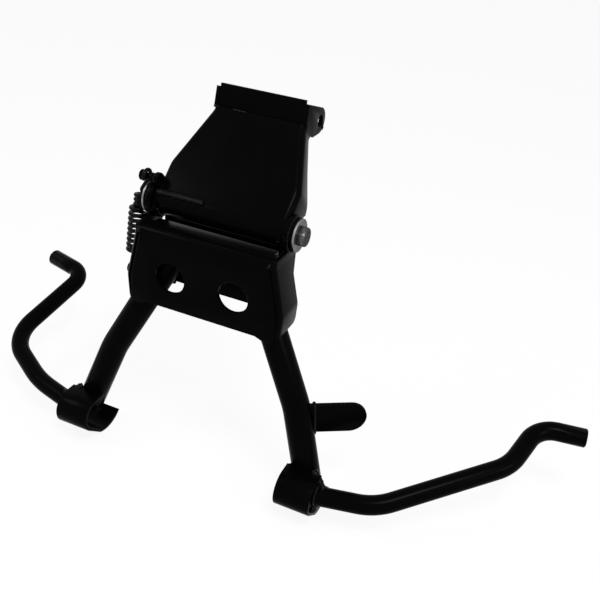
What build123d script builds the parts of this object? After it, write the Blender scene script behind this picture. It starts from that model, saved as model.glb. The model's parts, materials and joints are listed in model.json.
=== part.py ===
"""Motorcycle centre stand with its hanger bracket, pivot and return spring.

Units are millimetres. X runs across the motorcycle, Y to its rear and Z up. The
geometry is written from the pivot axis, and every piece is exported with the
origin on the axis of the two frame bolt holes in the ears of the hanger.
The stand is down, as it is when the motorcycle rests on it.
"""

import os
from math import asin, atan2, cos, hypot, radians, sin, tan

from build123d import *

# Frame bolt ears, seen from the side: place of their hole from the pivot
EAR_Y = 96.5
EAR_Z = 69.8
EAR_R = 12.2
EAR_HOLE_R = 5.5

# Hanger bracket, one folded sheet
SHEET = 4.0
FOLD_R = 6.5
HANGER_HALF = 65.0
HANGER_TOP_HALF = 46.3
HANGER_TAPER_START = 34.0
HANGER_TAPER_END = 94.0
HANGER_LEAN = 43.1
HANGER_FACE = 12.04
HANGER_LENGTH = 97.0
HANGER_WRAP_R = 17.0
HANGER_CREASE_R = 25.0
ARM_FRONT = (66.9, 92.1)
ARM_UNDER = (82.0, 57.8)
CHEEK_BACK = [(75.5, 60.4), (70.0, 58.6), (63.0, 50.0), (50.8, 34.5), (44.0, 23.4), (37.3, 12.0),
              (34.1, 3.0)]
CHEEK_UNDER_Y = 16.7
CHEEK_BACK_R = 5.0

# Cross bar on top of the hanger
BAR_HEIGHT = 21.3
BAR_THICKNESS = 4.0
BAR_LEAN = 10.3
BAR_STEP = 1.0

# Pivot
TUBE_R = 13.0
TUBE_WALL = 3.0
TUBE_INSET = 0.2
BUSH_WALL = 1.9
BUSH_LENGTH = 22.0
PIN_CLEARANCE = 0.05
WELD_GAP = 0.02
SIDE_GAP = 0.5
PIN_BORE_R = 4.2
BOSS_R = 15.5
BOSS_LENGTH = 3.7
BOSS_CLEARANCE = 0.05
WASHER_R = 15.0
WASHER_THICKNESS = 2.0
WASHER_EDGE_R = 0.5
SCREW_R = 4.15
SCREW_PLAY = 0.3
SCREW_GRIP = 18.0
HEX_ACROSS = 17.0
HEX_HEIGHT = 6.4
LOW_HEAD_R = 9.0
LOW_HEAD_HEIGHT = 2.4
LOW_SOCKET_ACROSS = 5.0
LOW_SOCKET_DEPTH = 3.4
TAP_OVERRUN = 3.0

# Cross plate of the stand, a sheet with both sides folded back
PLATE_FACE_Y = -37.5
PLATE_TOP_Z = -12.5
PLATE_BOTTOM_Z = -88.6
PLATE_CORNER_Z = -91.7
PLATE_TOP_LIP_R = 7.0
WEB_END_Y = -9.0
WEB_END_Z = -14.8
WEB_SIDE_GAP = 1.0
WEB_CLEARANCE = 1.5
STAND_CHEEK_R = 17.0
STAND_FLARE = 9.8
STAND_TUCK = 1.7
STAND_FLARE_START_Z = -20.0
STAND_FLARE_END_Z = -65.0
STAND_CREASE_R = 22.0
CHEEK_REAR_Y = -1.0
CHEEK_NECK_Z = -36.0
CHEEK_BOTTOM_Z = -85.0
CHEEK_CORNER_R = 6.0
CHEEK_NOSE = 8.0
PLATE_SIDE_Z = -85.5
PLATE_FOOT_INSET = 14.7
PLATE_FOOT_SLANT = 7.9
HOLE_X = 31.8
HOLE_Z = -56.7
HOLE_R = 14.8

# Panel that closes the cross plate at the rear
REAR_FACE_Y = 4.0
REAR_TOP_Z = -15.8
REAR_BOTTOM_Z = -82.0
REAR_SIDE_GAP = 1.0
REAR_CORNER_R = 8.0

# Legs
LEG_R = 13.0
LEG_WALL = 2.5
LEG_TOP = (39.0, -10.7, -40.0)
LEG_BEND = (98.7, -30.2, -155.1)
LEG_END = (123.3, -44.0, -228.0)
LEG_BEND_R = 95.0

# Feet, a strip bent over the rod and rolled to a rocker, seen from the side
FOOT_X = 120.0
FOOT_WIDTH = 35.0
FOOT_SHEET = 4.0
FOOT_LIP_Y = -50.0
FOOT_HEEL = (-54.0, -246.4)
FOOT_SOLE = (-43.0, -248.2)
FOOT_TIP = (-25.8, -240.0)

# Bent rods
ROD_R = 9.1
ROD_START_X = 122.5
ROD_GRADE = 0.33
ROD_SEAT_Y = -62.6
ROD_SEAT_Z = -222.35
LEFT_ROD_ROUTE = [(-183.6, -48.8), (-246.6, -14.2), (-228.3, 92.1), (-280.0, 102.8)]
LEFT_ROD_BENDS = [110.0, 43.0, 20.0]
RIGHT_ROD_ROUTE = [(190.9, -51.1), (291.1, 31.9), (305.6, 80.8), (350.0, 85.4)]
RIGHT_ROD_BENDS = [60.0, 45.0, 27.0]
ROD_EDGE = 1.0

# Rest tab on the right leg
TAB_SHEET = 4.0
TAB_ROOT = (109.5, -28.5)
TAB_TOP_Z = -149.0
TAB_BOTTOM_Z = -180.4
TAB_LENGTH = 55.8
TAB_TURN = 32.0

# Return spring with its two posts
POST_Y = -5.0
POST_Z = 21.0
POST_R = 4.2
POST_SHANK = 7.0
POST_NECK_R = 3.0
POST_NECK = 6.0
POST_HEAD_R = 5.0
POST_HEAD = 3.0
PIN_HEAD_EDGE_R = 0.8
LUG_R = 5.8
LUG_DEPTH = 15.0
ANCHOR_Y = -9.0
ANCHOR_Z = -75.0
ANCHOR_R = 3.5
ANCHOR_LENGTH = 16.0
ANCHOR_HEAD_R = 5.2
ANCHOR_HEAD = 2.2
ANCHOR_SINK = 1.0
COIL_TOP_Y = 0.5
COIL_TOP_Z = -0.5
COIL_BESIDE = 21.0
COIL_LEAN_X = -4.0
COIL_LEAN_Y = -2.6
COIL_DROP = -55.0
SPRING_WIRE_R = 1.5
SMALL_COIL_R = 4.3
SMALL_TURNS = 3.0
SMALL_PITCH = 4.4
LARGE_COIL_R = 8.2
LARGE_TURNS = 8.0
LARGE_PITCH = 5.3
SPRING_HOOK_GAP = 0.6
WIRE_TO_HEAD = 0.4
WAIST = 2.25
SPRING_KNUCKLE_R = 1.6

# Places that follow from the sizes above
DOWN_SLOPE = (cos(radians(HANGER_LEAN)), sin(radians(HANGER_LEAN)))
FACE_NORMAL = (-DOWN_SLOPE[1], DOWN_SLOPE[0])
CHEEK_INNER = HANGER_HALF + SIDE_GAP
CHEEK_OUTER = CHEEK_INNER + SHEET
BOSS_END = CHEEK_OUTER + BOSS_LENGTH
STAND_HALF_LOW = CHEEK_OUTER + STAND_FLARE
STAND_HALF_BOTTOM = STAND_HALF_LOW - STAND_TUCK
WEB_HALF = HANGER_HALF - SHEET - WEB_SIDE_GAP
REAR_HALF = HANGER_HALF - SHEET - REAR_SIDE_GAP
PIN_R = TUBE_R - TUBE_WALL - BUSH_WALL
BIG = 8 * HANGER_HALF
FOLD_STEEPEST = 0.9
SAME = 0.01

os.makedirs("parts", exist_ok=True)


def save(shape, node):
    """Write one piece with the origin moved to the frame bolt axis."""
    export_step(Pos(0, -EAR_Y, -EAR_Z) * shape, f"parts/{node}.step")


def side_prism(outline, x_low, x_high):
    """Extrude a face drawn in side view, Y to the right and Z up, along X."""
    placed = Plane.YZ * outline
    return Pos(x_low, 0, 0) * extrude(placed, x_high - x_low, dir=(1, 0, 0))


def on_slope(along, above):
    """Give the side view point at a distance along and above the hanger's slope."""
    y = along * DOWN_SLOPE[0] + above * FACE_NORMAL[0]
    z = along * DOWN_SLOPE[1] + above * FACE_NORMAL[1]
    return (y, z)


def tangent_point(start, centre, radius, side):
    """Give the point where a line from start touches a circle, on the chosen side."""
    dy = centre[0] - start[0]
    dz = centre[1] - start[1]
    reach = hypot(dy, dz)
    turn = side * asin(radius / reach)
    run = reach * cos(turn)
    heading = atan2(dz, dy) + turn
    return (start[0] + run * cos(heading), start[1] + run * sin(heading))


def rod_along_x(radius, x_low, x_high, y=0.0, z=0.0):
    """Make a round bar that lies along X."""
    bar = Cylinder(radius, x_high - x_low, align=(Align.CENTER, Align.CENTER, Align.MIN))
    return Pos(x_low, y, z) * Rot(0, 90, 0) * bar


def ring_along_x(radius, bore, x_low, x_high, y=0.0, z=0.0):
    """Make a ring or a length of tube that lies along X."""
    outer = rod_along_x(radius, x_low, x_high, y, z)
    return outer - rod_along_x(bore, x_low - 1, x_high + 1, y, z)


def hexagon_along_x(across, x_low, x_high, y=0.0, z=0.0):
    """Make a six sided head or nut that lies along X."""
    outline = RegularPolygon(across / 2, 6, major_radius=False)
    block = Rot(0, 90, 0) * extrude(outline, x_high - x_low)
    return Pos(x_low, y, z) * block


def taper_half(along, inset=0.0):
    """Give the hanger's half width at a distance up its slope."""
    share = (along - HANGER_TAPER_START) / (HANGER_TAPER_END - HANGER_TAPER_START)
    share = min(max(share, 0.0), 1.0)
    return HANGER_HALF + share * (HANGER_TOP_HALF - HANGER_HALF) - inset


def hanger_plan(inset):
    """Draw the hanger seen square to its face, in X and distance up the slope."""
    low = -HANGER_HALF
    high = 2 * HANGER_TAPER_END
    right = [(taper_half(s, inset), s) for s in (low, HANGER_TAPER_START, HANGER_TAPER_END, high)]
    left = [(-x, s) for x, s in reversed(right)]
    outline = make_face(Polyline(*right, *left, close=True))
    creases = [v for v in outline.vertices() if low < v.Y < high]
    return fillet(creases, HANGER_CREASE_R)


def hanger_profile():
    """Draw the hanger's cheek in side view, with its ear and its wrap at the pivot."""
    slope_low = on_slope(-HANGER_FACE, HANGER_FACE)
    slope_high = on_slope(HANGER_LENGTH, HANGER_FACE)
    ear = (EAR_Y, EAR_Z)
    ear_top = tangent_point(ARM_FRONT, ear, EAR_R, 1)
    ear_under = tangent_point(ARM_UNDER, ear, EAR_R, -1)
    arm = [slope_low, slope_high, ARM_FRONT, ear_top, ear, ear_under, ARM_UNDER]
    foot = [(CHEEK_UNDER_Y, CHEEK_BACK[-1][1]), (0.0, 0.0)]
    outline = make_face(Polyline(*arm, *CHEEK_BACK, *foot, close=True))
    corners = outline.vertices()
    rounded = [v for v in corners for y, z in CHEEK_BACK[1:-1] if hypot(v.X - y, v.Y - z) < SAME]
    outline = fillet(rounded, CHEEK_BACK_R)
    ear_disc = Pos(*ear) * Circle(EAR_R)
    wrap = Circle(HANGER_WRAP_R) & below_face(HANGER_FACE)
    return outline + ear_disc + wrap


def below_face(above):
    """Draw, in side view, all that lies under a line at a height above the hanger's slope."""
    ends = [on_slope(-BIG / 2, above), on_slope(BIG / 2, above)]
    depths = [on_slope(BIG / 2, -BIG / 2), on_slope(-BIG / 2, -BIG / 2)]
    return make_face(Polyline(*ends, *depths, close=True))


def hanger_bracket():
    """Make the folded sheet that bolts to the frame and carries the pivot tube."""
    lean = Plane(origin=(0, *on_slope(0, HANGER_FACE)), x_dir=(1, 0, 0),
                 z_dir=(0, *FACE_NORMAL))
    outer = lean * extrude(hanger_plan(0), -BIG / 2)
    outer = fillet(edges_along_slope(outer, lean, 0), FOLD_R)
    inner = lean * Pos(0, 0, -SHEET) * extrude(hanger_plan(SHEET), -BIG / 2)
    inner = fillet(edges_along_slope(inner, lean, -SHEET), FOLD_R - SHEET)
    channel = outer - inner
    profile = side_prism(hanger_profile(), -BIG / 2, BIG / 2)
    between = HANGER_HALF - SHEET
    below_plate = lean * Box(2 * between, BIG, BIG, align=(Align.CENTER, Align.MAX, Align.CENTER))
    above_plate = lean * Pos(0, HANGER_LENGTH, 0) * Box(
        2 * (HANGER_TOP_HALF - SHEET), BIG, 3 * SHEET,
        align=(Align.CENTER, Align.MIN, Align.CENTER))
    bracket = (channel & profile) - below_plate - above_plate
    bracket = bracket + arm(-1, lean) + arm(1, lean) + post_lug()
    bracket = bracket - rod_along_x(TUBE_R + WELD_GAP, -BIG, BIG)
    bracket = bracket - rod_along_x(POST_NECK_R, -HANGER_HALF - 1, 0, POST_Y, POST_Z)
    bracket = bracket - rod_along_x(EAR_HOLE_R, -BIG, BIG, EAR_Y, EAR_Z)
    return bracket - cross_bar()


def arm(side, lean):
    """Make the flat top of one cheek, which stands proud of the face beside the bar."""
    low, high = sorted((side * (HANGER_TOP_HALF - SHEET), side * HANGER_TOP_HALF))
    above = lean * Pos(0, HANGER_LENGTH, 0) * Box(
        BIG, BIG, BIG, align=(Align.CENTER, Align.MIN, Align.CENTER))
    return side_prism(hanger_profile(), low, high) & above


def post_lug():
    """Make the nose on the left cheek that carries the spring post."""
    disc = rod_along_x(LUG_R, -HANGER_HALF, -HANGER_HALF + SHEET, POST_Y, POST_Z)
    outline = Pos(POST_Y, POST_Z) * Rot(0, 0, HANGER_LEAN) * Pos(0, -LUG_DEPTH / 2) * Rectangle(
        2 * LUG_R, LUG_DEPTH)
    return disc + side_prism(outline, -HANGER_HALF, -HANGER_HALF + SHEET)


def edges_along_slope(block, plane, height):
    """List a block's edges that run up the hanger at a height over its face."""
    found = []
    for edge in block.edges():
        level = plane.to_local_coords(edge.center()).Z - height
        if abs(level) < SAME and abs(edge.tangent_at(0.5).X) < FOLD_STEEPEST:
            found.append(edge)
    return found


def cross_bar():
    """Make the flat bar that closes the hanger's top, between its cheeks."""
    start = on_slope(HANGER_LENGTH, HANGER_FACE)
    foot = (start[0] + BAR_STEP, start[1] - BAR_STEP)
    up = (sin(radians(BAR_LEAN)), cos(radians(BAR_LEAN)))
    back = (up[1], -up[0])
    top = (foot[0] + up[0] * BAR_HEIGHT, foot[1] + up[1] * BAR_HEIGHT)
    top_back = (top[0] + back[0] * BAR_THICKNESS, top[1] + back[1] * BAR_THICKNESS)
    foot_back = (foot[0] + back[0] * BAR_THICKNESS, foot[1] + back[1] * BAR_THICKNESS)
    outline = make_face(Polyline(foot, top, top_back, foot_back, close=True))
    half = HANGER_TOP_HALF - SHEET
    return side_prism(outline, -half, half)


def pivot_tube():
    """Make the tube that is welded through both cheeks of the hanger."""
    end = HANGER_HALF - TUBE_INSET
    return ring_along_x(TUBE_R, TUBE_R - TUBE_WALL, -end, end)


def bush(side):
    """Make one of the two bushes pressed into the pivot tube."""
    outer = HANGER_HALF - TUBE_INSET
    inner = outer - BUSH_LENGTH
    low, high = sorted((side * outer, side * inner))
    return ring_along_x(TUBE_R - TUBE_WALL - WELD_GAP, PIN_R + PIN_CLEARANCE, low, high)


def boss(side):
    """Make the ring welded to the outside of a cheek of the stand."""
    low, high = sorted((side * CHEEK_OUTER, side * BOSS_END))
    return ring_along_x(BOSS_R, PIN_R + BOSS_CLEARANCE, low, high)


def pivot_pin():
    """Make the shaft that turns with the stand, tapped at both ends."""
    low = -BOSS_END
    high = BOSS_END
    shaft = rod_along_x(PIN_R, low, high)
    depth = SCREW_GRIP + TAP_OVERRUN
    shaft = shaft - rod_along_x(PIN_BORE_R, low - 1, low + depth)
    return shaft - rod_along_x(PIN_BORE_R, high - depth, high + 1)


def washer(side):
    """Make the large washer that keeps the pin in."""
    start = BOSS_END
    low, high = sorted((side * start, side * (start + WASHER_THICKNESS)))
    ring = ring_along_x(WASHER_R, SCREW_R + SCREW_PLAY, low, high)
    rims = ring.edges().filter_by(GeomType.CIRCLE).sort_by(lambda e: e.radius)[-2:]
    return fillet(rims, WASHER_EDGE_R)


def screw_right():
    """Make the hexagon screw on the right end of the pin."""
    seat = BOSS_END + WASHER_THICKNESS
    head = hexagon_along_x(HEX_ACROSS, seat, seat + HEX_HEIGHT)
    rounded = Pos(seat, 0, 0) * Rot(0, 90, 0) * Cone(
        HEX_ACROSS * 0.72, HEX_ACROSS * 0.47, HEX_HEIGHT,
        align=(Align.CENTER, Align.CENTER, Align.MIN))
    head = head & rounded
    return head + rod_along_x(SCREW_R, seat - SCREW_GRIP, seat)


def screw_left():
    """Make the low socket screw on the spring side, clear of the spring."""
    seat = BOSS_END + WASHER_THICKNESS
    head = rod_along_x(LOW_HEAD_R, -seat - LOW_HEAD_HEIGHT, -seat)
    rim = head.edges().filter_by(GeomType.CIRCLE).sort_by(Axis.X)[0]
    head = fillet(rim, LOW_HEAD_HEIGHT * 0.6)
    screw = head + rod_along_x(SCREW_R, -seat, -seat + SCREW_GRIP)
    tip = -seat - LOW_HEAD_HEIGHT
    return screw - hexagon_along_x(LOW_SOCKET_ACROSS, tip - 1, tip + LOW_SOCKET_DEPTH)


def stand_half(z, inset=0.0):
    """Give the cross plate's half width at a height, before its corners are eased."""
    if z >= STAND_FLARE_START_Z:
        return CHEEK_OUTER - inset
    if z >= STAND_FLARE_END_Z:
        share = (STAND_FLARE_START_Z - z) / (STAND_FLARE_START_Z - STAND_FLARE_END_Z)
        return CHEEK_OUTER + share * (STAND_HALF_LOW - CHEEK_OUTER) - inset
    share = (STAND_FLARE_END_Z - z) / (STAND_FLARE_END_Z - PLATE_CORNER_Z)
    return STAND_HALF_LOW + share * (STAND_HALF_BOTTOM - STAND_HALF_LOW) - inset


def stand_front(inset):
    """Draw the stand's folded sheet seen from the front, in X and Z."""
    top = 4 * STAND_CHEEK_R
    bottom = PLATE_CORNER_Z - 2 * STAND_CHEEK_R
    heights = (top, STAND_FLARE_START_Z, STAND_FLARE_END_Z, bottom)
    right = [(stand_half(z, inset), z) for z in heights]
    left = [(-x, z) for x, z in reversed(right)]
    outline = make_face(Polyline(*right, *left, close=True))
    creases = [v for v in outline.vertices() if bottom < v.Y < top - SAME]
    creases = [v for v in creases if v.Y > bottom + SAME]
    return fillet(creases, STAND_CREASE_R)


def cheek_profile():
    """Draw the stand's cheek in side view, round at the pivot."""
    centre = (0.0, 0.0)
    front_low = (PLATE_FACE_Y, CHEEK_BOTTOM_Z)
    front_top = (PLATE_FACE_Y, PLATE_TOP_Z - CHEEK_NOSE / 2)
    nose = (PLATE_FACE_Y + CHEEK_NOSE / 2, PLATE_TOP_Z + CHEEK_NOSE / 4)
    crown = tangent_point((PLATE_FACE_Y, PLATE_TOP_Z + CHEEK_NOSE / 2), centre, STAND_CHEEK_R, 1)
    rear_top = (CHEEK_REAR_Y - 1.0, CHEEK_NECK_Z)
    rear_low = (CHEEK_REAR_Y, CHEEK_BOTTOM_Z)
    neck = tangent_point(rear_top, centre, STAND_CHEEK_R, -1)
    points = [front_low, front_top, nose, crown, centre, neck]
    outline = make_face(Polyline(*points, rear_top, rear_low, close=True))
    rear = outline.vertices().group_by(Axis.Y)[0].sort_by(Axis.X)[-1]
    waist = [v for v in outline.vertices() if abs(v.Y - CHEEK_NECK_Z) < SAME]
    outline = fillet([rear, *waist], CHEEK_CORNER_R)
    return outline + Circle(STAND_CHEEK_R)


def plate_section():
    """Draw the cross plate in side view, its top folded back as a web under the pivot."""
    face = PLATE_FACE_Y
    top = PLATE_TOP_Z
    slope = atan2(WEB_END_Z - top, WEB_END_Y - face)
    drop = SHEET / cos(slope)
    tip_low = (WEB_END_Y, WEB_END_Z - drop)
    nook = (face + SHEET, top + tan(slope) * SHEET - drop)
    outline = make_face(Polyline(
        (face, PLATE_CORNER_Z), (face, top), (WEB_END_Y, WEB_END_Z), tip_low, nook,
        (face + SHEET, PLATE_CORNER_Z), close=True))
    bend = outline.vertices().filter_by(lambda v: abs(v.X - face) < SAME).sort_by(Axis.Y)[-1]
    outline = fillet(bend, PLATE_TOP_LIP_R)
    at_nook = outline.vertices().filter_by(lambda v: abs(v.X - nook[0]) < SAME)
    return fillet(at_nook.sort_by(Axis.Y)[-1], PLATE_TOP_LIP_R - SHEET)


def cross_plate():
    """Make the stand's folded sheet: the plate with its holes and both cheeks."""
    outer = sheet_block(0.0, 0.0, FOLD_R)
    inner = sheet_block(SHEET, SHEET, FOLD_R - SHEET)
    shell = outer - inner
    cheeks = shell & side_prism(cheek_profile(), -BIG / 2, BIG / 2)
    mask = Pos(0, BIG / 2, 0) * extrude(Plane.XZ * plate_front(), BIG)
    wide = side_prism(plate_section(), -BIG / 2, BIG / 2)
    inside = extrude(Plane.XZ * stand_front(SHEET), -BIG)
    outside = Pos(0, -BIG / 2, 0) * extrude(Plane.XZ * stand_front(0), -BIG)
    plate = shell & side_prism(face_band(), -BIG / 2, BIG / 2)
    lip = wide & (Pos(0, -BIG / 2, 0) * inside)
    slot_r = HANGER_WRAP_R + WEB_CLEARANCE
    slot = Circle(slot_r) + Pos(0, -slot_r) * Rectangle(
        2 * slot_r, 2 * slot_r, align=(Align.CENTER, Align.CENTER))
    for side in (-1, 1):
        low, high = sorted((side * WEB_HALF, side * CHEEK_INNER))
        lip = lip - side_prism(slot, low, high)
    body = (cheeks + plate + lip) & mask & outside
    body = body & side_prism(stand_side_limit(), -BIG / 2, BIG / 2)
    for x in (-HOLE_X, HOLE_X):
        cut = Pos(x, PLATE_FACE_Y, HOLE_Z) * Rot(90, 0, 0) * Cylinder(HOLE_R, 4 * SHEET)
        body = body - cut
    for side in (-1, 1):
        body = body - leg_solid(side, LEG_R + WELD_GAP)
    return body - rod_along_x(PIN_R + BOSS_CLEARANCE, -BIG, BIG)


def plate_front():
    """Draw the plate's lower outline seen from the front, its corners cut off."""
    corner = stand_half(PLATE_CORNER_Z)
    foot = corner - PLATE_FOOT_INSET
    right = [(BIG / 4, BIG / 4), (BIG / 4, PLATE_SIDE_Z), (corner, PLATE_SIDE_Z),
             (corner - FOLD_R, PLATE_CORNER_Z), (foot, PLATE_CORNER_Z),
             (foot - PLATE_FOOT_SLANT, PLATE_BOTTOM_Z)]
    left = [(-x, z) for x, z in reversed(right)]
    return make_face(Polyline(*right, *left, close=True))


def face_band():
    """Draw the flat of the cross plate in side view, below its rolled edge."""
    top = PLATE_TOP_Z - PLATE_TOP_LIP_R
    return Pos(PLATE_FACE_Y + SHEET / 2, (top + PLATE_CORNER_Z) / 2) * Rectangle(
        SHEET, top - PLATE_CORNER_Z)


def stand_side_limit():
    """Draw the whole stand sheet's outer limit in side view, its front edge rolled."""
    half = BIG / 8
    outline = Pos(PLATE_FACE_Y + half, PLATE_TOP_Z - half) * Rectangle(2 * half, 2 * half)
    corner = outline.vertices().sort_by(lambda v: v.X - v.Y)[0]
    return fillet(corner, PLATE_TOP_LIP_R) + Circle(STAND_CHEEK_R)


def sheet_block(inset_side, inset_front, fold):
    """Make a block inside the stand's front outline, its front corners rounded."""
    face = stand_front(inset_side)
    block = extrude(Plane.XZ * face, -BIG / 2)
    block = Pos(0, PLATE_FACE_Y + inset_front, 0) * block
    front_y = PLATE_FACE_Y + inset_front
    edges = [e for e in block.edges() if abs(e.center().Y - front_y) < SAME
             and abs(e.tangent_at(0.5).X) < FOLD_STEEPEST]
    return fillet(edges, fold)


def leg_axis(side):
    """Draw the centre line of a leg, two runs joined by one bend."""
    points = [(side * x, y, z) for x, y, z in (LEG_TOP, LEG_BEND, LEG_END)]
    return FilletPolyline(*points, radius=LEG_BEND_R)


def leg_solid(side, radius):
    """Make a leg as a round bar of a given radius, before it is cut to fit."""
    path = leg_axis(side)
    section = Plane(origin=path @ 0, z_dir=path % 0) * Circle(radius)
    return sweep(section, path=path)


def leg(side, panel):
    """Make one leg tube, cut level at both ends and flat against the rear panel."""
    tube = leg_solid(side, LEG_R) - leg_solid(side, LEG_R - LEG_WALL)
    block = Box(BIG, BIG, BIG, align=(Align.CENTER, Align.CENTER, Align.MIN))
    ceiling = Pos(0, 0, LEG_TOP[2]) * block
    floor = Pos(0, 0, LEG_END[2] - BIG) * block
    behind = Pos(0, REAR_FACE_Y - SHEET, -BIG / 2) * Box(
        BIG, BIG, BIG, align=(Align.CENTER, Align.MIN, Align.CENTER))
    above_bottom = behind & Pos(0, 0, panel.bounding_box().min.Z) * block
    return tube - ceiling - floor - above_bottom


def foot_line():
    """Draw the outer line of a foot in side view, from its lip over the rod to its tip."""
    radius = ROD_R + WELD_GAP + FOOT_SHEET
    seat = (ROD_SEAT_Y, ROD_SEAT_Z)
    crown = (ROD_SEAT_Y, ROD_SEAT_Z + radius)
    lip = (FOOT_LIP_Y, crown[1])
    under = tangent_point(FOOT_HEEL, seat, radius, 1)
    middle = (crown[0] + under[0] - 2 * seat[0], crown[1] + under[1] - 2 * seat[1])
    share = radius / hypot(*middle)
    nose = (seat[0] + share * middle[0], seat[1] + share * middle[1])
    front = Line(lip, crown) + ThreePointArc(crown, nose, under) + Line(under, FOOT_HEEL)
    return front + ThreePointArc(FOOT_HEEL, FOOT_SOLE, FOOT_TIP)


def foot(side):
    """Make one foot, a wide strip bent round the rod and under the leg."""
    outer = Wire(foot_line().edges())
    points_in = outer.offset_2d(-FOOT_SHEET, side=Side.RIGHT, closed=True)
    strip = make_face(points_in)
    low, high = sorted((side * (FOOT_X - FOOT_WIDTH / 2), side * (FOOT_X + FOOT_WIDTH / 2)))
    solid = side_prism(strip, low, high)
    return solid - leg_solid(side, LEG_R)


def rod_height(y):
    """Give the height of the rods' common plane at a distance to the rear."""
    return ROD_SEAT_Z + ROD_GRADE * (y - ROD_SEAT_Y)


def rod(side, route, bends):
    """Make a bent rod, its inner end cut to the leg that it is welded to."""
    start = (side * ROD_START_X, ROD_SEAT_Y, ROD_SEAT_Z)
    points = [start] + [(x, y, rod_height(y)) for x, y in route]
    path = FilletPolyline(*points, radius=bends)
    section = Plane(origin=path @ 0, z_dir=path % 0) * Circle(ROD_R)
    bar = sweep(section, path=path)
    end_face = bar.faces().filter_by(GeomType.PLANE).sort_by(lambda f: abs(f.center().X))[-1]
    bar = chamfer(end_face.edges(), ROD_EDGE)
    return bar - leg_solid(side, LEG_R + WELD_GAP) - foot(side)


def rest_tab():
    """Make the round ended tab that stands out behind the right leg."""
    height = TAB_TOP_Z - TAB_BOTTOM_Z
    radius = height / 2
    straight = TAB_LENGTH - radius
    outline = Pos(straight / 2, 0) * Rectangle(straight, height)
    outline = outline + Pos(straight, 0) * Circle(radius)
    heading = (cos(radians(TAB_TURN)), sin(radians(TAB_TURN)), 0)
    middle = (TAB_ROOT[0], TAB_ROOT[1], (TAB_TOP_Z + TAB_BOTTOM_Z) / 2)
    plane = Plane(origin=middle, x_dir=heading, z_dir=(heading[1], -heading[0], 0))
    tab = extrude(plane * outline, TAB_SHEET / 2, both=True)
    return tab - leg_solid(1, LEG_R)


def rear_panel():
    """Make the panel that closes the back of the cross plate, behind the leg tops."""
    height = REAR_TOP_Z - REAR_BOTTOM_Z
    outline = Pos(0, (REAR_TOP_Z + REAR_BOTTOM_Z) / 2) * Rectangle(2 * REAR_HALF, height)
    low = outline.vertices().group_by(Axis.Y)[0]
    outline = fillet(low, REAR_CORNER_R)
    panel = extrude(Plane.XZ * outline, -SHEET)
    return Pos(0, REAR_FACE_Y - SHEET, 0) * panel


def spring_post():
    """Make the stepped post that is riveted in the lug on the hanger's left cheek."""
    face = -HANGER_HALF
    neck_start = face - POST_SHANK
    head_start = neck_start - POST_NECK
    tail = rod_along_x(POST_NECK_R - WELD_GAP, face, face + SHEET, POST_Y, POST_Z)
    shank = rod_along_x(POST_R, neck_start, face, POST_Y, POST_Z)
    neck = rod_along_x(POST_NECK_R, head_start, neck_start, POST_Y, POST_Z)
    head = rod_along_x(POST_HEAD_R, head_start - POST_HEAD, head_start, POST_Y, POST_Z)
    head = fillet(head.edges().filter_by(GeomType.CIRCLE), PIN_HEAD_EDGE_R)
    return tail + shank + neck + head


def spring_anchor(plate):
    """Make the headed pin on the stand's left cheek for the spring's lower hook."""
    face = -stand_half(ANCHOR_Z) + ANCHOR_SINK
    tip = face - ANCHOR_LENGTH
    shank = rod_along_x(ANCHOR_R, tip, face, ANCHOR_Y, ANCHOR_Z)
    head = rod_along_x(ANCHOR_HEAD_R, tip, tip + ANCHOR_HEAD, ANCHOR_Y, ANCHOR_Z)
    pin = shank + fillet(head.edges().filter_by(GeomType.CIRCLE), PIN_HEAD_EDGE_R)
    return pin - plate


def wire_along(line):
    """Sweep the spring's wire along one line or curve."""
    section = Plane(origin=line @ 0, z_dir=line % 0) * Circle(SPRING_WIRE_R)
    return sweep(section, path=line, is_frenet=isinstance(line, Helix))


def coil_frame(shift):
    """Place a plane on the coil's axis, a distance down from its top."""
    lean = Vector(COIL_LEAN_X, COIL_LEAN_Y, COIL_DROP).normalized()
    origin = Vector(-HANGER_HALF - COIL_BESIDE, COIL_TOP_Y, COIL_TOP_Z) + lean * shift
    return Plane(origin=origin, x_dir=(1, 0, lean.X / -lean.Z), z_dir=lean)


def helix_wire(shift, pitch, turns, radius):
    """Make one stretch of coil and give it with its first and last point."""
    height = pitch * turns
    frame = coil_frame(shift)
    path = Helix(pitch, height, radius)
    section = Plane(origin=path @ 0, z_dir=path % 0) * Circle(SPRING_WIRE_R)
    coil = frame * sweep(section, path=path, is_frenet=True)
    first = frame.from_local_coords(path @ 0)
    last = frame.from_local_coords(path @ 1)
    return coil, first, last


def link_wire(points):
    """Join points with straight wire and a round knuckle at each inner point."""
    pieces = [wire_along(Line(a, b)) for a, b in zip(points, points[1:])]
    wire = pieces[0]
    for piece, point in zip(pieces[1:], points[1:]):
        wire = wire + Pos(*point) * Sphere(SPRING_KNUCKLE_R) + piece
    return wire


def hook_eye(x, pin_y, pin_z, pin_r, toward):
    """Draw the open eye of a hook round its pin, from its front to its rear side."""
    reach = pin_r + SPRING_WIRE_R + SPRING_HOOK_GAP
    rearward = -1 if toward[1] > 0 else 1
    across = (-rearward * toward[1], rearward * toward[0])
    first = (x, pin_y - across[0] * reach, pin_z - across[1] * reach)
    crown = (x, pin_y - toward[0] * reach, pin_z - toward[1] * reach)
    last = (x, pin_y + across[0] * reach, pin_z + across[1] * reach)
    return ThreePointArc(first, crown, last)


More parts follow.
